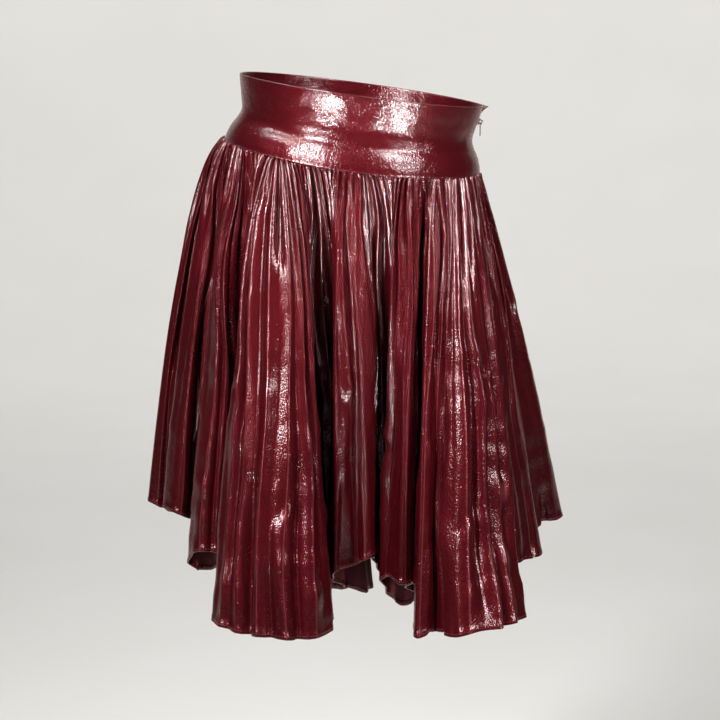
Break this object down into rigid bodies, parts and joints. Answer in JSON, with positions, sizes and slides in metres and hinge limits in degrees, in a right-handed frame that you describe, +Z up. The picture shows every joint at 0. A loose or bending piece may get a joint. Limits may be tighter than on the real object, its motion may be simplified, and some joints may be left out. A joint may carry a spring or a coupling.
{
  "type": "pleated skirt",
  "caption": "Short burgundy wet-look skirt with a wide shaped waistband, finely pleated and falling in deep flutes to an uneven hem, closed by a concealed side zip.",
  "frame": {"origin": "centre of the waist, the narrowest ring of the waistband, where the wearer holds the skirt up", "axes": "+Z up, -Y towards the front of the skirt, +X towards the side with the zip, the wearer's left"},
  "size_m": [0.4491, 0.3914, 0.565],
  "materials": {
    "coated_cloth": "glossy wet-look coating",
    "zip_tape": "matte woven tape",
    "zip_metal": "lacquered dark red"
  },
  "bodies": {
    "skirt": {"waistband_front": "coated_cloth", "waistband_back": "coated_cloth", "skirt_front": "coated_cloth", "skirt_back": "coated_cloth", "zip_tape": "zip_tape", "zip_slider": "zip_metal"},
    "zip_pull": {"zip_pull": "zip_metal"}
  },
  "joints": [
    {"name": "pull_swing", "type": "hinge", "parent": "skirt", "child": "zip_pull", "pos_m": [0.12918, 0, 0.00072], "axis": [0, -1, 0], "range_deg": [0, 140]}
  ]
}
